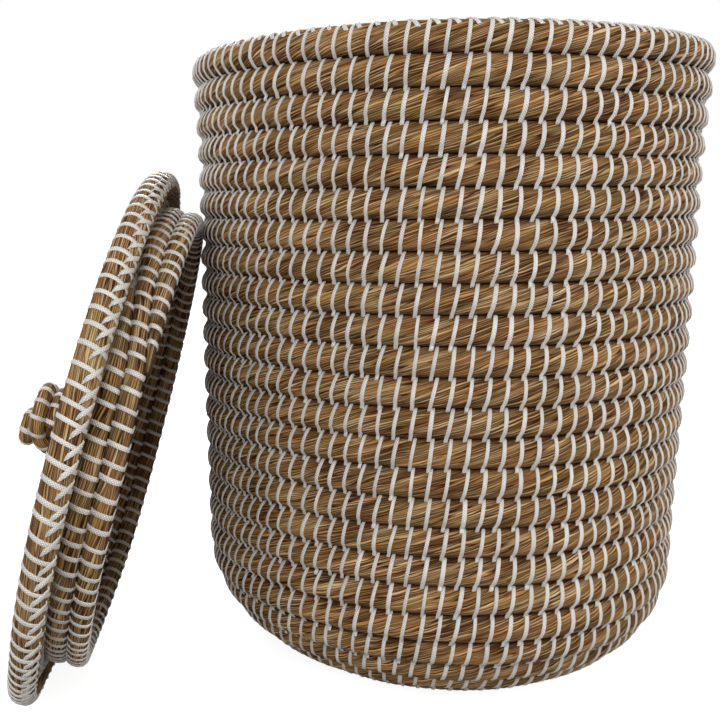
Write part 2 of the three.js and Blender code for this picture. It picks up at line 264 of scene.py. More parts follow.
def set_ramp(ramp, stops):
    """Fills a colour ramp with stops: a place and a colour in screen values."""
    while len(ramp.elements) < len(stops):
        ramp.elements.new(0.5)
    for element, (place, colour) in zip(ramp.elements, stops):
        element.position = place
        element.color = linear(*colour)


def new_with_nodes(kind, name):
    """A new material or world, and its node tree, which is empty."""
    made = kind.new(name)
    made.use_nodes = True
    made.node_tree.nodes.clear()
    return made, made.node_tree


def add_surface(tree, colour, roughness, gloss, height, strength, rise):
    """The shader that ends a material, with bumps that rise by 'rise' millimetres."""
    inputs = {"Height": height, "Strength": strength, "Distance": rise * MM}
    bump = add_node(tree, "Bump", inputs)[0]
    inputs = {
        "Base Color": colour, "Roughness": roughness, "Specular IOR Level": gloss, "Normal": bump}
    shader = add_node(tree, "BsdfPrincipled", inputs)[0]
    add_node(tree, "OutputMaterial", {"Surface": shader})


# %% Grass
BLADE_WIDTH = 1.15  # millimetres
BLADE_LENGTH = 75
FIBRE_WIDTH = 0.4
FIBRE_LENGTH = 26
PATCH_WIDTH = 8  # of neighbouring blades of like colour
PATCH_LENGTH = 80
SWAY = 5.2  # how far a blade wanders to the side
SWAY_WIDTH = 7
SWAY_LENGTH = 48
# the brown of the gaps between blades, and of painted shade down in the grooves
GAP_AND_SHADE_BROWN = linear(54, 21, 6)
BLADE_COLOURS = (
    (0.00, (122, 84, 52)),
    (0.14, (158, 120, 76)),
    (0.30, (140, 114, 66)),
    (0.44, (178, 153, 116)),
    (0.58, (152, 128, 78)),
    (0.72, (162, 116, 80)),
    (0.86, (188, 167, 133)),
    (1.00, (156, 132, 88)),
)


def blade_map(tree, twist, seed):
    """The coil's map turned by the twist, and the same with blades that wander."""
    place = add_node(tree, "UVMap", uv_map="along_round")[0]
    inputs = {
        "Vector": place, "Rotation": (0, 0, -np.radians(twist)),
        "Location": (seed * 0.37, seed * 0.11, 0),
    }
    slant = add_node(tree, "Mapping", inputs)[0]
    sway = noise(tree, slant, SWAY_LENGTH, SWAY_WIDTH, 1.5)["Color"]
    sway = vector_node(tree, "SUBTRACT", sway, (0.5, 0.5, 0.5))
    sway = vector_node(tree, "MULTIPLY", sway, (0, SWAY * MM, 0))
    return slant, vector_node(tree, "ADD", slant, sway)


def grass_material(name, tone, warmth, twist, seed):
    """Dry grass bundle: 'tone' scales its lightness, 'warmth' its share of red, and
    'twist' is the slant of its blades across the coil, in degrees."""
    material, tree = new_with_nodes(bpy.data.materials, name)
    slant, lay = blade_map(tree, twist, seed)
    blades = stretched(tree, lay, BLADE_LENGTH, BLADE_WIDTH)
    own = cells(tree, blades, "F1")["Color"]
    own = add_node(tree, "SeparateColor", {"Color": own})
    edge = cells(tree, blades, "DISTANCE_TO_EDGE")["Distance"]
    fibre = noise(tree, lay, FIBRE_LENGTH, FIBRE_WIDTH, 3.0)["Fac"]
    slow = noise(tree, slant, PATCH_LENGTH, PATCH_WIDTH, 2.0)["Color"]
    slow = add_node(tree, "SeparateColor", {"Color": slow})
    # a blade's colour leans towards its neighbours' through the slow patches
    lean = number_node(tree, "MULTIPLY_ADD", slow["Red"], 1.2, -0.6)
    pick = number_node(tree, "FRACT", number_node(tree, "ADD", own["Red"], lean))
    colour = add_node(tree, "ValToRGB", {"Fac": pick})["Color"]
    set_ramp(colour.node.color_ramp, BLADE_COLOURS)
    # lightness: the blade's own and streaks of fibre
    streak = spread_range(tree, fibre, 0.28, 0.72, 0.66 * tone, 1.3 * tone)
    lightness = spread_range(tree, own["Green"], 0.0, 1.0, 0.84, 1.16)
    lightness = number_node(tree, "MULTIPLY", streak, lightness)
    tint = (warmth, 1.0, 2.0 - warmth)
    tinted = vector_node(tree, "MULTIPLY", colour, tint)
    tinted = vector_node(tree, "SCALE", tinted, lightness)
    # deep brown in the gap beside a blade, its own colour, and as painted shade down in the
    # groove
    gap_width = spread_range(tree, slow["Green"], 0.35, 0.65, 0.08, 0.34)
    gap = spread_range(tree, edge, 0.02, gap_width, 0.0, 1.0)
    depth = add_node(tree, "Attribute", attribute_name="shade")["Fac"]
    bright = number_node(tree, "MULTIPLY", gap, spread_range(tree, depth, 0.0, 1.0, 1.0, 0.0))
    inputs = {"Factor": bright, 6: GAP_AND_SHADE_BROWN, 7: tinted}
    mixed = add_node(tree, "Mix", inputs, data_type="RGBA")[2]
    round_top = spread_range(tree, edge, 0.0, 0.35, 0.0, 1.0, interpolation_type="SMOOTHSTEP")
    height = number_node(tree, "MULTIPLY_ADD", fibre, 0.7, round_top)
    add_surface(tree, mixed, 0.65, 0.08, height, 1.0, 0.7)
    return material


wall_grass = grass_material("wall_grass", 1.17, 1.1, 20, 1)
base_grass = grass_material("base_grass", 1.06, 1.1, 20, 2)
lid_grass = grass_material("lid_grass", 1.27, 1.03, 4, 3)
# the knob's grass is painted lighter than the lid's: partly a paler grass of its own, partly
# painted light for the brighter light on the knob
knob_grass_painted_light = grass_material("knob_grass_painted_light", 1.7, 1.0, 7, 4)
print("grass:", [m.name for m in (wall_grass, base_grass, lid_grass, knob_grass_painted_light)])

# %% [markdown]
# The strip is pale grey white plastic, braided so finely that it looks grainy.
# Two waves that run slantwise both ways give the braid, in colour and in bump,
# and each stitch has a value of its own that makes it a touch darker or lighter.

# %% Strip
BRAID = 1.7  # millimetres from one thread to the next
OWN_VALUE = 0.07  # how much one stitch is lighter than the next


def strip_material(name, colour):
    """Pale braided plastic strip, its braid following the strip's own map."""
    material, tree = new_with_nodes(bpy.data.materials, name)
    place = add_node(tree, "UVMap", uv_map="along_round")[0]
    threads = []
    for way in (1, -1):
        turned = add_node(tree, "Mapping", {"Vector": place, "Scale": (1, way, 1)})[0]
        inputs = {
            "Vector": turned, "Scale": 2 * np.pi / (10 * BRAID * MM), "Distortion": 0.6,
            "Detail": 1.0}
        wave = add_node(tree, "TexWave", inputs, wave_type="BANDS", bands_direction="DIAGONAL")
        threads.append(wave["Fac"])
    braid = number_node(tree, "MULTIPLY", *threads)
    grain = spread_range(tree, braid, 0.0, 0.8, 0.64, 1.25)
    own = add_node(tree, "Attribute", attribute_name="shade")["Fac"]
    value = number_node(tree, "MULTIPLY_ADD", own, OWN_VALUE, grain)
    tinted = vector_node(tree, "SCALE", colour[:3], value)
    add_surface(tree, tinted, 0.38, 0.7, braid, 0.8, 0.25)
    return material


strip = strip_material("strip", linear(224, 219, 212))

# %% [markdown]
# The basket's coil follows one middle line: out over the floor, round a heel
# that is a quarter of an ellipse, and up a wall that leans out a little.  The
# solids of the frame were made from the same line, so the sizes here are the
# same.  A table of distance along the line makes the coil climb evenly: one
# pitch of distance for every turn.

# %% Middle line of the basket
RIM_RADIUS = 195
BASKET_HEIGHT = 470
WALL_TAPER = np.radians(1.39)
HEEL_HEIGHT = 93
HEEL_WIDTH = 112
ROW_PITCH = 20
HALF_COIL = 9.7  # half of a coil's width, from one groove to the next
HALF_WALL = 9  # half of the wall's thickness
FRONT = -94  # degrees; where the rim's height is given
ROWS = 23
RIM_END = 60  # degrees; where the coil runs out
START_RADIUS = 9.7  # the knot in the middle of the base
BASE_WEDGE = 160  # degrees that the wedge at the coil's start is long
STEPS = 20  # the frame's steps in a turn
BASE_STEP = 0.2  # of a turn, to move over to the next one
RIM_TAPER_TURN = 72  # degrees over which the rim thins out
RIM_END_SHARE = 0.3
RIM_FLARE = 2.0  # how far the top rows stand out
OVAL = 0.045  # share of the radius
OFF_ROUND = 0.02

heel_top_radius = RIM_RADIUS - (BASKET_HEIGHT - HEEL_HEIGHT) * np.tan(WALL_TAPER)
floor_radius = heel_top_radius - HEEL_WIDTH
quarter = np.linspace(0, np.pi / 2, 400)
heel_r = floor_radius + (HEEL_WIDTH - HALF_WALL) * np.sin(quarter)
heel_z = HEEL_HEIGHT - (HEEL_HEIGHT - HALF_WALL) * np.cos(quarter)
line_top = BASKET_HEIGHT + 2 * ROW_PITCH
top_r = heel_top_radius - HALF_WALL + (line_top - HEEL_HEIGHT) * np.tan(WALL_TAPER)
line_r = np.r_[0, heel_r, top_r]
line_z = np.r_[HALF_WALL, heel_z, line_top]
line_arc = np.r_[0, np.cumsum(np.hypot(np.diff(line_r), np.diff(line_z)))]
front_arc = np.interp(BASKET_HEIGHT - ROW_PITCH / 2, line_z[-2:], line_arc[-2:])
wall_first = RIM_END - 360 * ROWS
wall_first_arc = front_arc + ROW_PITCH * (wall_first - FRONT) / 360
coil_start = START_RADIUS + ROW_PITCH / 2
base_turns = np.floor((wall_first_arc - coil_start) / ROW_PITCH * STEPS) / STEPS
base_first = wall_first - 360 * base_turns
print("front arc", round(front_arc, 1), "base turns", base_turns)


def line_at(arc):
    """Radius and height of the middle line at a distance along it."""
    return np.interp(arc, line_arc, line_r), np.interp(arc, line_arc, line_z)


def spiral_arc(angle):
    """Distance along the middle line at an angle: an even spiral, except near
    the knot, where each turn keeps its radius and then moves over to the next."""
    even = front_arc + ROW_PITCH * (angle - FRONT) / 360
    turned = np.clip((angle - base_first) / 360, 0, base_turns)
    whole = np.floor(turned)
    part = turned - whole
    over = eased((part - (1 - BASE_STEP)) / BASE_STEP)
    share = turned / base_turns
    turns = whole + (1 - share) * over + share * part
    base = coil_start + (wall_first_arc - coil_start) * turns / base_turns
    return np.where(angle < wall_first, base, even)


def basket_half(angle):
    """Half of the coil's width: full, but at its start a wedge between the knot and
    the coil's own next turn."""
    wedge = (spiral_arc(angle + 360) - HALF_COIL - START_RADIUS) / 2
    return np.where(angle < base_first, wedge, HALF_COIL)


def basket_arc(angle):
    """Distance along the middle line at an angle, the wedge at the coil's start too."""
    wedge = START_RADIUS + basket_half(angle)
    return np.where(angle < base_first, wedge, spiral_arc(angle))


def basket_line(angle):
    """Point, outward and across directions of the coil's middle at an angle in degrees.
    The outward direction is square to the wall and across runs up to the next turn."""
    arc = basket_arc(angle)
    step = 2.0
    r, z = line_at(arc)
    dr, dz = np.subtract(line_at(arc + step), line_at(arc - step))
    run = np.hypot(dr, dz)
    dr = dr / run
    dz = dz / run
    turn = np.radians(angle)
    c, s = circle(angle)
    # the wall wanders in and out, and its rows up and down, by under a millimetre
    up = np.clip((arc - wall_first_arc) / 60, 0, 1)
    r = r + up * 0.5 * np.sin(2 * turn + arc / 47)
    r = r + RIM_FLARE * eased((arc - front_arc) / 70 + 1)
    # the basket is a little oval, its right front nearer than its left front
    from_front = turn - np.radians(FRONT)
    r = r * (1 + OVAL * np.sin(2 * from_front) - OFF_ROUND * np.sin(from_front))
    z = z + up * 0.5 * np.sin(3 * turn + arc / 83)
    return beside(r * c, r * s, z), beside(dz * c, dz * s, -dr), beside(dr * c, dr * s, dz)


# %% [markdown]
# A sewer goes round with the same number of stitches to every turn of the
# wall, each one beside the stitch of the row below, and puts in fewer near the
# middle of the base, where they would crowd.  The count of stitches up to an
# angle is a running sum, and reading it backwards gives the angle of each one.

# %% Places of the stitches
STITCHES_A_TURN = 100.97
MIDDLE_ROW = FRONT - 9 * 360  # degrees; halfway up the front
LEAST_SPACING = 11.0  # millimetres, where a turn is small
COLUMN_PLACE = -1.75  # degrees; the column nearest the front
UNEVEN = 0.09  # degrees, of every stitch for itself
WANDER = 0.25  # degrees, of a whole column of stitches


def random_rows(places, amount, seed):
    """One normal random value for each place, as a column, at most twice 'amount'."""
    values = np.random.default_rng(seed).normal(0, 1, len(places)).clip(-2, 2)
    return amount * values[:, None]


def stitch_places(first, last, radius_at, turn_count, least, through, uneven, seed):
    """Angles in degrees of all the stitches between two angles: the running sum of
    stitches per degree, read backwards at whole numbers, with one at 'through'."""
    angles = np.arange(first, last + 1.0, 1.0)
    spacing = np.maximum(360 / turn_count, np.degrees(least / radius_at(angles)))
    density = 1 / spacing
    count = np.r_[0, np.cumsum((density[1:] + density[:-1]) / 2)]
    count = count - np.interp(through, angles, count)
    whole = np.arange(np.ceil(count[0]), np.floor(count[-1]) + 1)
    even = np.interp(whole, count, angles)
    shake = random_rows(whole, uneven, seed)[:, 0]
    column = WANDER * drift((even - FRONT - 180) % 360, 9, seed + 1)
    return even + column + shake * np.interp(even, angles, spacing) / spacing.min()


def basket_radius(angle):
    """Distance of the coil's middle from the basket's axis."""
    return line_at(basket_arc(angle))[0]


base_start = base_first - BASE_WEDGE
basket_stitches = stitch_places(
    base_start, RIM_END, basket_radius, STITCHES_A_TURN, LEAST_SPACING,
    MIDDLE_ROW + COLUMN_PLACE, UNEVEN, 11)
print("basket stitches:", len(basket_stitches))

# %% [markdown]
# The coil's section is not a circle: the strip pulls the bundle flat against
# its neighbours, which leaves a low ridge outside and inside and a narrow
# groove on each side of it.  The ridge sags a little below the middle.  Each
# stitch also nips the bundle, so it swells between two stitches.  The stations
# of the coil's skin are set four to a stitch, one of them right under it.

# %% Skin of the basket's coil
# a form is the height of the ridge, the depth of the groove and the sag
OUTER_FORM = (8.6, 5.7, 1.6)
INNER_FORM = (8.5, 3.4, 0.0)
GROOVE_CURVE = 2.6  # 2 is a round ridge, more is a flatter one
NIP = 0.55  # how far a stitch pulls the bundle in
SLOW_SWELL = 0.022  # share of its thickness by which a coil swells
QUICK_SWELL = 0.014
LUMP = 0.25  # height of its lumps
SHADE_CURVE = 6  # more keeps the shade deeper in the groove
OVER = 0.35  # how far an inner face runs into its neighbour
FLAT_OVER = 1.0  # the same where the coil lies in a flat spiral
STITCH_SPACING = 11.5
STATIONS = 4  # to a stitch
LEAN = 0.15  # a stitch's run along the coil, for each unit across it

outer_places = np.sin(np.linspace(-0.5, 0.5, 13) * np.pi)
inner_places = np.sin(np.linspace(0.5, -0.5, 7) * np.pi)


def face_height(share, form):
    """Height of a coil's face at a share of the way from its middle to its edge.
    Height = ridge - groove * |share|^curve - sag * share * (1 - share^2)."""
    ridge, groove, sag = form
    share = np.clip(share, -1, 1)
    return ridge - groove * np.abs(share) ** GROOVE_CURVE - sag * share * (1 - share ** 2)


def pressed_outline(half, outer, inner, over=OVER):
    """Corners [out, across] round a pressed coil: the outer face up, then the inner one
    down.  'half' is half of its width, one value or one for each station.  The inner
    face is wider by 'over', so that it runs into its neighbour and closes the groove."""
    out = np.r_[face_height(outer_places, outer), -face_height(inner_places, inner)]
    half = np.asarray(half, float)[..., None]
    across = np.concatenate([half * outer_places, (half + over) * inner_places], -1)
    return beside(out, across)


def stations_between(places, first, last):
    """Angles of the skin's stations, a few to each stitch, and how near each is to one.
    The first and last are the ends asked for."""
    number = np.arange(len(places) * STATIONS - STATIONS + 1) / STATIONS
    angles = np.interp(number, np.arange(len(places)), places)
    keep = (angles > first + 0.3) & (angles < last - 0.3)
    return np.r_[first, angles[keep], last], np.r_[0, number[keep], 0]


def round_lengths(outline):
    """Distance round a section to each corner, and back to the first."""
    return lengths(np.concatenate([outline, outline[:1]]))


def coil_skin(line, angles, number, outline, nip, seed, grooves=(1, 1)):
    """Skin, map and shade of a coil.  'outline' is one section or one for each station.
    Corner = middle + out * first + across * second, nipped under each stitch.
    'grooves' is how deep in shade its lower and upper edges lie."""
    corners = np.broadcast_to(outline, (len(angles), *outline.shape[-2:])).copy()
    point, out, across = line(angles)
    along = lengths(point)
    swell = 1 + SLOW_SWELL * drift(along, 42, seed) + QUICK_SWELL * drift(along, 13, seed + 1)
    lump = LUMP * drift(along[:, None] + 300 * np.arange(corners.shape[1]), 17, seed + 2)
    phase = number[:, None] - LEAN * corners[..., 1] / STITCH_SPACING
    pull = nip * (0.5 + 0.5 * np.cos(2 * np.pi * phase))
    share = corners[..., 1] / np.abs(corners[..., 1]).max(-1, keepdims=True)
    # painted shade: the value rises towards the groove at each edge, and the material paints the
    # grass darker there
    shade = np.abs(share) ** SHADE_CURVE * np.where(share < 0, *grooves)
    height = corners[..., 0]
    corners[..., 0] = height * swell[:, None] - np.sign(height) * (pull - lump)
    points = point[:, None] + out[:, None] * corners[..., :1] + across[:, None] * corners[..., 1:]
    middle = outline if outline.ndim == 2 else outline[len(outline) // 2]
    uv = beside(along[:, None], round_lengths(middle))
    return points[None], uv[None], shade[None]


def press_flat(made, floor):
    """What would lie below the floor is pressed flat on it."""
    points, uv, shade = made
    points[..., 2] = np.maximum(points[..., 2], floor)
    return points, uv, shade


# %% Wall, base and rim
GRASS_OFF_FLOOR = 0.6
rim_first = RIM_END - 360

wall_section = pressed_outline(HALF_COIL, OUTER_FORM, INNER_FORM)
wall_middle = (wall_first + rim_first) / 2
for name, nodes, first, last, seed in (
    ("wall_grass_lower", ("wall_coil",), wall_first, wall_middle, 20),
    ("wall_grass_upper", (), wall_middle, rim_first, 21),
):
    angles, number = stations_between(basket_stitches, first, last)
    made = coil_skin(basket_line, angles, number, wall_section, NIP, seed)
    piece = make_piece(name, made, "basket", wall_grass, nodes)

angles, number = stations_between(basket_stitches, base_start, wall_first)
base_halves = basket_half(angles) + 0.3
base_section = pressed_outline(base_halves, OUTER_FORM, INNER_FORM, FLAT_OVER)
made = coil_skin(basket_line, angles, number, base_section, NIP, 30)
made = press_flat(made, GRASS_OFF_FLOOR)
piece = make_piece("base_spiral_grass", made, "basket", base_grass, ("base_coil",))

# %% [markdown]
# The rim is the last turn of the same coil.  It has no turn above it, so its
# upper half is round, and it thins out where it ends on its own start.

# %% Rim
RIM_CORNERS = 20
RIM_TIP_TURN = 8  # degrees


def rim_section(turn, half):
    """Out and across of the rim's skin at an angle round its section, 0 outside and
    90 on top: round above the middle, the wall's ridge and groove below it."""
    side, rise = circle(turn)
    below = np.where(side > 0, face_height(rise, OUTER_FORM), -face_height(rise, INNER_FORM))
    above = OUTER_FORM[0] * np.sign(side) * np.abs(side) ** 0.9
    out = np.where(rise < 0, below, above)
    thin = (half / HALF_COIL) ** 0.35
    over = OVER * np.maximum(-rise, 0) * (side < 0)
    return out * thin, rise * half - (HALF_COIL - half) - over


def rim_half(angle):
    """Half of the rim coil's height: full, then thinning out, and quickly at its tip."""
    thinned = eased((angle - RIM_END + RIM_TAPER_TURN) / RIM_TAPER_TURN)
    tip = 0.12 + 0.88 * eased((RIM_END - angle) / RIM_TIP_TURN)
    return HALF_COIL * (1 - (1 - RIM_END_SHARE) * thinned) * tip


angles, number = stations_between(basket_stitches, rim_first, RIM_END)
round_turns = -90 + 360 * (np.arange(RIM_CORNERS) + 0.5) / RIM_CORNERS
outline = beside(*rim_section(round_turns, rim_half(angles)[:, None]))
made = coil_skin(basket_line, angles, number, outline, NIP, 40, (1, 0))
piece = make_piece("rim_grass", made, "basket", wall_grass, ("rim_coil",))

# %% [markdown]
# The coil starts as a small tight knot in the middle of the base.  It is a
# short barrel: rings stacked up its axis, wide in the middle and drawn in at
# both ends, with the blades running round it.

# %% Knot
BARREL_CORNERS = 20


def barrel(radius, bottom, top, stations):
    """Skin of a short barrel up the z axis.  Radius = full * fourth root of (1 - share^4)."""
    share = np.sin(np.linspace(-0.5, 0.5, stations) * np.pi) * 0.998
    ring = radius * (1 - share ** 4) ** 0.25
    height = (bottom + top) / 2 + share * (top - bottom) / 2
    turn = 2 * np.pi * np.arange(BARREL_CORNERS) / BARREL_CORNERS
    points = beside(ring[:, None] * np.cos(turn), ring[:, None] * np.sin(turn), height[:, None])
    run = np.r_[0, np.cumsum(np.hypot(np.diff(ring), np.diff(height)))]
    turns = radius * 2 * np.pi * np.arange(BARREL_CORNERS + 1) / BARREL_CORNERS
    uv = beside(turns, run[:, None])
    return points[None], uv[None], 0.0


made = barrel(START_RADIUS + 1.0, GRASS_OFF_FLOOR, 2 * HALF_WALL - 0.4, 11)
piece = make_piece("base_knot_grass", made, "basket", base_grass, ("base_start",))

# %% [markdown]
# Now the stitches.  A stitch is a short flat strip: it comes out of the groove
# above a coil, lies over the coil's face, and goes into the groove below, just
# left of the next stitch's top.  Its path is given in the coil's own measures,
# which are along, across and out, and only at the end are they turned into
# places in space.  There are thousands, so each has only a few dozen faces.

# %% Strips over a coil
STRIP_HALF_WIDTH = 1.28
STRIP_THICKNESS = 0.55
STRIP_SPREAD = 0.07  # share by which one strip is wider than the next
CRISP = 50  # degrees
# corners of a strip's section: share of half its width, share of its thickness
STRIP_SECTION = np.array([
    (-1.0, -0.4), (-1.0, 0.6), (-0.86, 1.0), (0.86, 1.0), (1.0, 0.6), (1.0, -0.4),
])


def lay_strips(
    line, places, along, across, out, radius, wide=STRIP_HALF_WIDTH, seed=0, taper=(0.2, 0.05)):
    """Skins, map and own tone of strips on a coil, one at each place, an angle in degrees.
    'along', 'across' and 'out' give each strip's path in millimetres.  Its face is
    square to the path, its corners = path + side * width + face * thickness.
    'taper' is how much of its width it loses at its first and last end.  Both ends
    are cut along the coil: there a corner slides down the path by
    width * -side_across / path_across, so that it stays in line with the groove."""
    path = beside(along, across, out)
    path = np.broadcast_to(path, (len(places), *path.shape[-2:]))
    run = np.gradient(path, axis=1)
    run = run / np.linalg.norm(run, axis=-1, keepdims=True)
    face = beside(0 * run[..., 0], run[..., 2], -run[..., 1])
    face = face / np.linalg.norm(face, axis=-1, keepdims=True)
    side = np.cross(run, face)
    rng = np.random.default_rng(seed)
    widths = wide * (1 + STRIP_SPREAD * rng.normal(0, 1, len(places)).clip(-2, 2))
    station = np.arange(path.shape[1])
    narrow = 1 - taper[0] * 0.2 ** station - taper[1] * 0.2 ** station[::-1]
    w = STRIP_SECTION[:, 0] * widths[:, None, None] * narrow[:, None]
    h = STRIP_SECTION[:, 1] * STRIP_THICKNESS
    level = run * (1, 1, 0)
    slope = -side[..., 1] / np.where(np.abs(run[..., 1]) > 0.3, run[..., 1], np.inf)
    slope[:, (0, -1)] = slope[:, (1, -2)]
    level[:, (0, -1)] = level[:, (1, -2)]
    slope[:, 2:-2] = 0
    slide = (slope.clip(-0.8, 0.8)[..., None] * w)[..., None] * level[:, :, None]
    local = path[:, :, None] + side[:, :, None] * w[..., None] + face[:, :, None] * h[:, None]
    local = local + slide
    angle = places[:, None, None] + np.degrees(local[..., 0] / radius(places)[:, None, None])
    point, outward, sideways = line(angle)
    points = point + outward * local[..., 2:] + sideways * local[..., 1:2]
    step = np.linalg.norm(np.diff(path, axis=1), axis=-1)
    length = np.concatenate([np.zeros((len(places), 1)), np.cumsum(step, axis=1)], axis=1)
    length = length + rng.uniform(0, 50, len(places))[:, None]
    uv = beside(length[..., None], round_lengths(STRIP_SECTION * (wide, STRIP_THICKNESS)))
    return points, uv, rng.uniform(-1, 1, len(places))[:, None, None]


# %% Stitches of the wall and base
START = 0.4  # how far past the groove above its coil a stitch starts
REACH = 1.6  # how far past the groove below it ends, at the least
REACH_SPREAD = 0.55
LEAN_SPREAD = 0.035
TUCK = 1.9  # how deep its ends go in
SEAT = 0.3  # how far it stands off the nipped coil
BRIDGES = (1.5, 0.9)  # how far it keeps off the bottom of the groove below and above
INSIDE_LEAN = 0.28


def face_stitches(
    line, places, half, form, lean, radius, seed, inside, stations, wide=STRIP_HALF_WIDTH):
    """Stitches over one face of a coil, from the groove on one side to a little beyond
    the groove on the other.  Height = that of the face, or of the next coil's face past
    the groove, less the nip; it bridges the grooves, and both ends are tucked in."""
    share = (1 - np.cos(np.linspace(0, np.pi, stations))) / 2
    ends = half + REACH + np.abs(random_rows(places, REACH_SPREAD, seed + 1))
    across = half + START - share * (half + START + ends)
    folded = np.sign(across) * (half - np.abs(np.abs(across) - half))
    low = face_height(1.0, form) + np.where(across < 0, *BRIDGES)
    out = np.maximum(face_height(folded / half, form), low) - NIP + SEAT
    out = out - TUCK * at_ends(stations)
    along = across * (lean + random_rows(places, LEAN_SPREAD, seed + 2))
    if inside:
        across = -across
        along = -along
        out = -out
    return lay_strips(line, places, along, across, out, radius, wide, seed)


def sew(name, made, body):
    """A piece of strips."""
    make_piece(name, made, body, strip, crisp=CRISP)


def between(places, first, last):
    """The places that lie between two angles."""
    return places[(places > first) & (places < last)]


base_first_stitch = base_start + 40  # no stitch holds the thin tip before it
for name, first, last, seed, inside in (
    ("wall_stitches_lower", wall_first + 1, wall_middle + 1, 50, False),
    ("wall_stitches_upper", wall_middle + 1, rim_first + 1, 51, False),
    ("base_stitches", base_first_stitch, wall_first + 1, 60, False),
    ("wall_stitches_inside", wall_first + 1, rim_first + 1, 70, True),
    ("base_stitches_inside", base_first_stitch, wall_first + 1, 80, True),
):
    places = between(basket_stitches, first, last)
    form, lean, stations = (INNER_FORM, INSIDE_LEAN, 7) if inside else (OUTER_FORM, LEAN, 9)
    made = face_stitches(
        basket_line, places, basket_half(places)[:, None], form, lean, basket_radius, seed,
        inside, stations)
    sew(name, press_flat(made, 0.0), "basket")

# %% [markdown]
# On the rim each stitch goes over the top and down inside, and a short second
# strip crosses it there, which makes the row of crosses along the rim.

# %% Stitches of the rim
RIM_STATIONS = 17
CROSS_STATIONS = 8
LIFT = 0.75  # of a strip that crosses another


def rim_path(turn, half, lift):
    """Across and out of a strip on the rim's skin, at angles round its section."""
    out, across = rim_section(turn, half)
    grow = 1 + (lift - NIP + SEAT) / OUTER_FORM[0]
    return across * grow, out * grow


places = between(basket_stitches, rim_first + 1, RIM_END - 5)
halves = rim_half(places)[:, None]
turn = np.linspace(262, -88, RIM_STATIONS)
across, out = rim_path(turn, halves, 0.0)
along = across * (LEAN + random_rows(places, 0.03, 91))
along = along + 6.0 * eased((turn - 70) / 190)
out = out - np.sign(out) * TUCK * at_ends(RIM_STATIONS)
across = across - np.r_[np.zeros(RIM_STATIONS - 2), 1.0, 2.3]
made = lay_strips(basket_line, places, along, across, out, basket_radius, seed=90)
sew("rim_stitches", made, "basket")

places = between(basket_stitches, rim_first + 6, RIM_END - 9)
halves = rim_half(places)[:, None]
turn = np.linspace(158, 32, CROSS_STATIONS) + random_rows(places, 5, 93)
arch = np.sin(np.linspace(0, np.pi, CROSS_STATIONS))
across, out = rim_path(turn, halves, LIFT * arch - 1.4 * at_ends(CROSS_STATIONS))
along = np.linspace(-5.0, 8.0, CROSS_STATIONS) + random_rows(places, 0.7, 94)
made = lay_strips(basket_line, places, along, across, out, basket_radius, seed=92)
sew("rim_crosses", made, "basket")

# %% [markdown]
# The lid is worked in a frame of its own, as it was sewn: flat on a table with
# its knob up.  Only then is it leant: its frame comes from the middle of the
# thick coil's box and the two angles at which it stands.

# %% Frame of the lid
LID_LEAN = np.radians(13.95)
LID_TURN = np.radians(-4.58)
FOOT_BEND = 9  # of the lid's lowest part
BENT_BELOW = 100  # how far down the lid the bend starts
BEND_RUN = 95
LID_STRIP = 1.45  # half of a strip's width
lid_middle = np.mean(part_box("lid_flange_coil"), axis=0) / MM
away = np.array([np.sin(LID_TURN), np.cos(LID_TURN), 0])
knob_way = np.array([
    -np.cos(LID_LEAN) * np.cos(LID_TURN), np.cos(LID_LEAN) * np.sin(LID_TURN), np.sin(LID_LEAN)])
up_way = np.cross(away, knob_way)
lid_axes = np.stack([-away, up_way, knob_way])
floor_way = knob_way * (1, 1, 0) / np.hypot(*knob_way[:2])
print("middle of the lid:", np.round(lid_middle, 1))


def constant(value):
    """A function that gives the same value everywhere."""
    return lambda turned: value + 0 * turned


def lid_line(radius_at, height_at, radial, shift_at=constant(0), turn_way=1, start=0.0):
    """A coil of the lid as a function of the degrees that it has turned: its middle at a
    radius and height, outward from the axis if 'radial', or else out through the knob.
    'shift_at' moves it up the lid.  The lowest part bends towards the knob's side:
    bend = most * ((depth - start) / run)^2 along the floor."""

    def line(turned):
        c, s = circle(start + turn_way * turned)
        r = radius_at(turned)
        y = r * s + shift_at(turned)
        bend = FOOT_BEND * (np.maximum(-y - BENT_BELOW, 0) / BEND_RUN) ** 2
        point = beside(r * c, y, height_at(turned)) @ lid_axes
        point = point + bend[..., None] * floor_way
        ray = beside(c, s, 0.0) @ lid_axes
        axis = beside(0 * c, 0.0, 1.0) @ lid_axes
        out, across = (ray, axis) if radial else (axis, ray)
        return lid_middle + point, out, across

    return line


# %% Thick outer coil
FLANGE_RADIUS = 185.5
FLANGE_GRASS = 9.4
FLANGE_CORNERS = 20
FLANGE_STITCHES = 106
FLANGE_FIRST = 90
FOOT_SHADE = 0.36  # painted shade: the grass is painted darker towards the floor
SHADED_UP_TO = 210


def round_outline(radius, corners):
    """A round section, as [out, across] corners."""
    turn = 2 * np.pi * (np.arange(corners) + 0.5) / corners
    return radius * beside(np.cos(turn), np.sin(turn))


flange_radius = constant(FLANGE_RADIUS)
flange_line = lid_line(flange_radius, constant(0), True, start=FLANGE_FIRST)
flange_stitches = stitch_places(0, 360, flange_radius, FLANGE_STITCHES, 1.0, 268.0, 0.14, 101)
angles, number = stations_between(flange_stitches, 0.15, 359.85)
outline = round_outline(FLANGE_GRASS, FLANGE_CORNERS)
made = coil_skin(flange_line, angles, number, outline, 0.35, 102, (0, 0))
points, uv, shade = press_flat(made, GRASS_OFF_FLOOR)
# painted shade on the thick coil's lower part, strongest at the floor and gone 210 mm up
made = (points, uv, shade + FOOT_SHADE * np.clip(1 - points[..., 2] / SHADED_UP_TO, 0, 1))
piece = make_piece("lid_flange_grass", made, "lid", lid_grass, ("lid_flange_coil",))

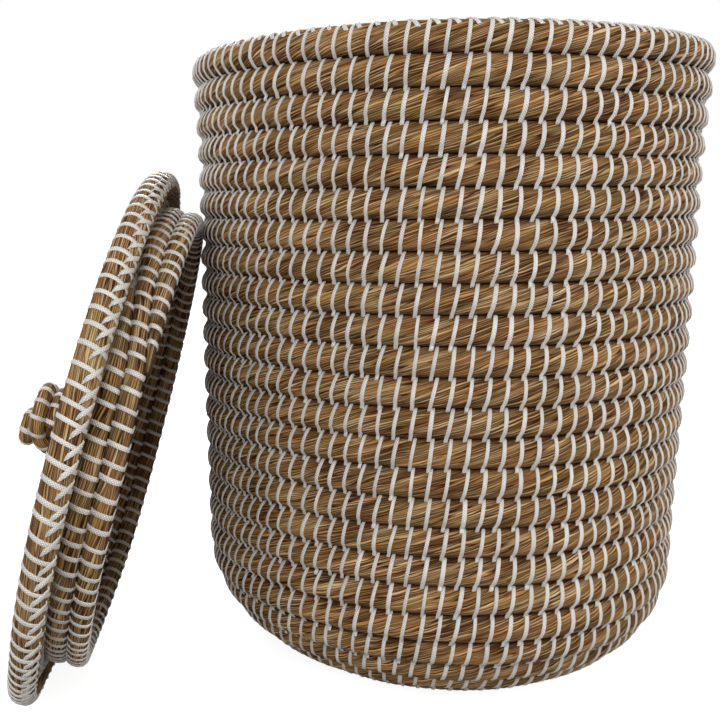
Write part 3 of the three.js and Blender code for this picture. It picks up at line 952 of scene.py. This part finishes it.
# %% [markdown]
# The thick coil is lashed twice.  A long stitch runs over it at a slant, and a
# short one crosses it near the skirt, so that the pair looks like an arrow.

# %% Stitches of the thick coil
LONG_STATIONS = 13
FLANGE_STRIP = FLANGE_GRASS - 0.1  # radius at which the strips lie
FLANGE_TUCK = 1.8  # how deep their ends go in


def round_path(turn, width, ridge, power=1.0):
    """Across and out of a strip that goes round a coil: width * sine of the angle round
    it, and ridge * cosine^power, which is flatter than a circle where it's under 1."""
    side, rise = circle(turn)
    return width * rise, ridge * np.sign(side) * np.abs(side) ** power


turn = np.linspace(168, -100, LONG_STATIONS)
radius = FLANGE_STRIP - FLANGE_TUCK * at_ends(LONG_STATIONS)
across, out = round_path(turn, radius, radius)
slope = np.where(turn > 45, 0.02, 0.044)
along = slope * (turn - 45) + random_rows(flange_stitches, 0.25, 103)
made = lay_strips(flange_line, flange_stitches, along, across, out, flange_radius, LID_STRIP, 104)
sew("lid_flange_stitches", press_flat(made, 0.0), "lid")

share = np.linspace(0, 1, CROSS_STATIONS)
turn = -8 - 68 * share + random_rows(flange_stitches, 3, 105)
lifted = FLANGE_STRIP + LIFT * np.sin(np.pi * share) ** 0.7
radius = lifted - FLANGE_TUCK * at_ends(CROSS_STATIONS)
across, out = round_path(turn, radius, radius)
along = -9.8 + 11.5 * share + random_rows(flange_stitches, 0.45, 106)
made = lay_strips(
    flange_line, flange_stitches, along, across, out, flange_radius, LID_STRIP, 107,
    (0.0, 0.1))
sew("lid_flange_crosses", press_flat(made, 0.0), "lid")

# %% [markdown]
# The lid's top is nine rings of flatter coil inside the thick one, each a
# little higher than the last, so that they make a low dome with a small hub
# beside the knob.  A ring goes over to the next in a tenth of a turn, and the
# coil's two ends are wedges that fill what this leaves open, beside the thick
# coil and beside the knob.

# %% Domed top
LID_COILS = 9
TOP_FIRST_RADIUS = 166.9
TOP_PITCH = 17.6
TOP_HALF = 8.7
DOME_RISE = 15
DOME_POWER = 2.4
HUB_RISE = 8.7
HUB_WIDTH = 12
TOP_FORM = (6.2, 3.6, 0.0)
TOP_STITCHES = 103
TOP_LEAN = 0.2
STEP_OVER = 0.1  # of a turn
TOP_WEDGE = 360 * STEP_OVER
TOP_TURNED = 360 * LID_COILS
TOP_LAST_RADIUS = TOP_FIRST_RADIUS - TOP_PITCH * (LID_COILS - 1)


def rings_at(turned):
    """How many rings a coil has moved over: whole turns, eased at each one's end."""
    turns = turned / 360
    whole = np.floor(turns)
    return whole + eased((turns - whole - (1 - STEP_OVER)) / STEP_OVER)


def top_half(turned):
    """Half of the top coil's width: full, but for a wedge at its start and one at its end."""
    swell = eased(1 + np.minimum(turned, 0) / TOP_WEDGE)
    thin = eased(1 - np.maximum(turned - TOP_TURNED + TOP_WEDGE, 0) / TOP_WEDGE)
    return np.maximum(TOP_HALF * swell * thin, 0.5)


def top_radius(turned):
    """Radius of the top's coil: its rings, each wedge lying against what is beside it."""
    missing = TOP_HALF - top_half(turned)
    ring = rings_at(np.clip(turned, 0, TOP_TURNED - TOP_WEDGE))
    return TOP_FIRST_RADIUS - TOP_PITCH * ring + np.where(turned < 0, missing, -missing)


def top_height(turned):
    """Height of the top's coil above the lid's rim, that of a dome with a hub in it:
    rise * (1 - share^power) + hub * exp(-(distance / width)^2)."""
    radius = top_radius(turned)
    flat = DOME_RISE * (1 - (radius / TOP_FIRST_RADIUS) ** DOME_POWER)
    return flat + HUB_RISE * np.exp(-((radius - TOP_LAST_RADIUS) / HUB_WIDTH) ** 2)


top_line = lid_line(top_radius, top_height, False)
top_stitches = stitch_places(
    -TOP_WEDGE, TOP_TURNED, top_radius, TOP_STITCHES, LEAST_SPACING, 180.0, 0.2, 111)
angles, number = stations_between(top_stitches, -TOP_WEDGE, TOP_TURNED)
top_section = pressed_outline(top_half(angles), TOP_FORM, TOP_FORM, FLAT_OVER)
made = coil_skin(top_line, angles, number, top_section, 0.4, 112)
piece = make_piece("lid_top_grass", made, "lid", lid_grass, ("lid_top_coil",))
halves = top_half(top_stitches)[1:-1, None]
for name, inside, lean, seed in (
    ("lid_top_stitches", False, TOP_LEAN, 113),
    ("lid_top_stitches_inside", True, INSIDE_LEAN, 116),
):
    made = face_stitches(
        top_line, top_stitches[1:-1], halves, TOP_FORM, lean, top_radius, seed,
        inside, 8, LID_STRIP)
    sew(name, made, "lid")

# %% [markdown]
# The innermost ring stands well above the one outside it, so a thin cord is
# packed into the step between them and closes it.

# %% Packing cord
PACKING = 4.2  # half as thick as the step is high
PACKING_RADIUS = 34.8
PACKING_HEIGHT = 19.2
PACKING_SHADE = 0.3
packing_line = lid_line(constant(PACKING_RADIUS), constant(PACKING_HEIGHT), True)
angles = np.linspace(0.2, 359.8, 61)
outline = round_outline(PACKING, 12)
points, uv, shade = coil_skin(packing_line, angles, angles / 24, outline, 0.2, 118, (0, 0))
# painted shade: the cord lies down in the step between two rings, so it is painted darker
made = (points, uv, shade + PACKING_SHADE)
piece = make_piece("lid_packing_grass", made, "lid", lid_grass)

# %% [markdown]
# The skirt hangs below the dome's outer ring and drops into the basket's
# mouth.  It is wound the other way.  Its start is a wedge that pushes the next
# turn down, and its end thins out below that, so it is two rows deep all round.

# %% Skirt
SKIRT_RADIUS = 161
SKIRT_PITCH = 13.2
SKIRT_UPPER = -6.5  # height of its upper edge
SKIRT_FORM = (6.8, 3.6, 0.0)
SKIRT_SHIFT = 4
SKIRT_START = 45
SKIRT_TURNED = 738
SKIRT_STITCHES = 97
SKIRT_STATIONS = 12
SKIRT_GAP = 0.15
# its upper and lower edges, in rows below the top, at degrees that it has turned
SKIRT_TURNS = (0, 18, 36, 342, 360, 378, 396, 702, 720, 738)
SKIRT_UPPER_ROWS = (-0.08, -0.08, -0.08, -0.08, 0.35, 0.95, 1, 1, 1.15, 1.8)
SKIRT_LOWER_ROWS = (0.35, 0.95, 1, 1, 1.15, 1.8, 2, 2, 2, 2)


def skirt_edges(turned):
    """Rows down to the skirt coil's upper and lower edges."""
    rows = (SKIRT_UPPER_ROWS, SKIRT_LOWER_ROWS)
    return [np.interp(turned, SKIRT_TURNS, edge) for edge in rows]


def skirt_height(turned):
    """Height of the middle of the skirt's coil."""
    upper, lower = skirt_edges(turned)
    return SKIRT_UPPER - SKIRT_PITCH * (upper + lower) / 2


def skirt_half(turned):
    """Half of the skirt coil's width."""
    upper, lower = skirt_edges(turned)
    return SKIRT_PITCH * (lower - upper) / 2 - SKIRT_GAP


skirt_radius = constant(SKIRT_RADIUS)
skirt_line = lid_line(
    skirt_radius, skirt_height, True, constant(SKIRT_SHIFT), turn_way=-1, start=SKIRT_START)
skirt_stitches = stitch_places(
    0, SKIRT_TURNED, skirt_radius, SKIRT_STITCHES, 1.0, 60.0, 0.2, 121)
angles, number = stations_between(skirt_stitches, 0, SKIRT_TURNED)
skirt_section = pressed_outline(skirt_half(angles), SKIRT_FORM, SKIRT_FORM)
made = coil_skin(skirt_line, angles, number, skirt_section, 0.4, 122)
piece = make_piece("lid_skirt_grass", made, "lid", lid_grass, ("lid_skirt_coil",))

places = skirt_stitches[1:-1]
turn = np.linspace(84, -264, SKIRT_STATIONS)
width = skirt_half(places)[:, None] + 0.5
across, out = round_path(turn, width, SKIRT_FORM[0] - 0.1, 0.6)
along = -TOP_LEAN * across * np.sign(out) + random_rows(places, 0.3, 124)
made = lay_strips(skirt_line, places, along, across, out, skirt_radius, LID_STRIP, 123)
sew("lid_skirt_stitches", made, "lid")

# %% [markdown]
# The knob is the end of a thinner bundle, wound in three turns round its own
# folded start: a neck in the dome's middle, a wider turn on it and a small one
# on top, a little below the knob's middle.

# %% Knob
KNOB_GRASS = 5.6
KNOB_STRIP = 1.2
# radius, height and shift up the lid of each turn, and where in it the change starts
KNOB_LEVELS = np.array([
    (19.5, 34.2, 0.0), (20.8, 45.2, 0.0), (8.4, 52.6, -8.5), (8.4, 52.6, -8.5)])
KNOB_CHANGES = np.array([0.75, 0.5, 1.0])
KNOB_HEART = (18.6, 10.0, 44.0)  # radius, bottom and top
KNOB_TURNED = 882
KNOB_SPACING = 9.0


def knob_level(which):
    """Radius, height or shift of the knob's coil: each turn keeps its level, then moves
    over to the next in a quarter of a turn."""

    def level(turned):
        turns = np.clip(turned / 360, 0, 2.999)
        whole = np.floor(turns).astype(int)
        over = eased((turns - whole - KNOB_CHANGES[whole]) * 4)
        levels = KNOB_LEVELS[:, which]
        return levels[whole] + (levels[whole + 1] - levels[whole]) * over

    return level


knob_radius = knob_level(0)
knob_line = lid_line(knob_radius, knob_level(1), True, knob_level(2))
knob_stitches = stitch_places(0, KNOB_TURNED, knob_radius, 13, KNOB_SPACING, 10.0, 0.8, 131)
angles, number = stations_between(knob_stitches, 0, KNOB_TURNED)
outline = round_outline(KNOB_GRASS, 14)
made = coil_skin(knob_line, angles, number, outline, 0.3, 132, (0, 0))
piece = make_piece("knob_grass_painted_light", made, "lid", knob_grass_painted_light, ("knob_coil",))

turn = np.linspace(165, -165, LONG_STATIONS)
across, out = round_path(turn, KNOB_GRASS, KNOB_GRASS)
along = 0.012 * turn + random_rows(knob_stitches, 0.3, 133)
made = lay_strips(knob_line, knob_stitches, along, across, out, knob_radius, KNOB_STRIP, 134)
sew("knob_stitches", made, "lid")

points, uv, shade = barrel(*KNOB_HEART, 9)
made = (lid_middle + points @ lid_axes, uv, shade)
piece = make_piece("knob_heart_grass", made, "lid", lid_grass, ("knob_start",))

# %% [markdown]
# A white floor that the camera sees as pure white, but that still takes the
# basket's shadow: the floor gives off some light of its own to the camera, so
# that only the shadow falls below white.

# %% Floor and backdrop
WHITE = (1, 1, 1, 1)
GREY = (0.5, 0.5, 0.5, 1)
FLOOR_REACH = 12.0  # metres, each way

floor_mesh = bpy.data.meshes.new("floor")
corners = [
    (FLOOR_REACH * x, FLOOR_REACH * y, 0) for x, y in ((-1, -1), (1, -1), (1, 1), (-1, 1))]
floor_mesh.from_pydata(corners, [], [(0, 1, 2, 3)])
floor = add_object("floor", floor_mesh)
paper, tree = new_with_nodes(bpy.data.materials, "paper")
diffuse = add_node(tree, "BsdfDiffuse", {"Color": GREY})[0]
glow = add_node(tree, "Emission", {"Color": WHITE, "Strength": 0.88})[0]
seen = add_node(tree, "LightPath")["Is Camera Ray"]
both = add_node(tree, "AddShader", {0: diffuse, 1: glow})[0]
shown = add_node(tree, "MixShader", {"Fac": seen, 1: diffuse, 2: both})[0]
add_node(tree, "OutputMaterial", {"Surface": shown})
floor_mesh.materials.append(paper)

# %% Light
bpy.context.scene.world, tree = new_with_nodes(bpy.data.worlds, "world")
paths = add_node(tree, "LightPath")
direct = number_node(tree, "MAXIMUM", paths["Is Camera Ray"], paths["Is Glossy Ray"])
direct = number_node(tree, "MAXIMUM", direct, paths["Is Transmission Ray"])
soft = add_node(tree, "Background", {"Color": WHITE, "Strength": 0.45})[0]
full = add_node(tree, "Background", {"Color": WHITE, "Strength": 1.0})[0]
mixed = add_node(tree, "MixShader", {"Fac": direct, 1: soft, 2: full})[0]
add_node(tree, "OutputWorld", {"Surface": mixed})
bpy.context.scene.view_settings.view_transform = "Standard"


def area_light(name, place, target, size, power):
    """A square lamp at a place in metres, facing a target."""
    data = bpy.data.lights.new(name, "AREA")
    data.size = size
    data.energy = power
    lamp = add_object(name, data)
    way = (Vector(target) - Vector(place)).to_track_quat("-Z", "Y")
    lamp.matrix_world = Matrix.Translation(place) @ way.to_matrix().to_4x4()


area_light("front", (-0.2, -2.5, 1.5), (0, 0, 0.22), 1.3, 29)
area_light("right", (2.1, -0.9, 1.2), (0, 0, 0.22), 1.2, 20)
area_light("left", (-1.5, -2.0, 1.3), (-0.2, 0, 0.22), 1.0, 14)
area_light("back", (-0.6, 2.4, 1.5), (0, 0, 0.2), 1.2, 40)
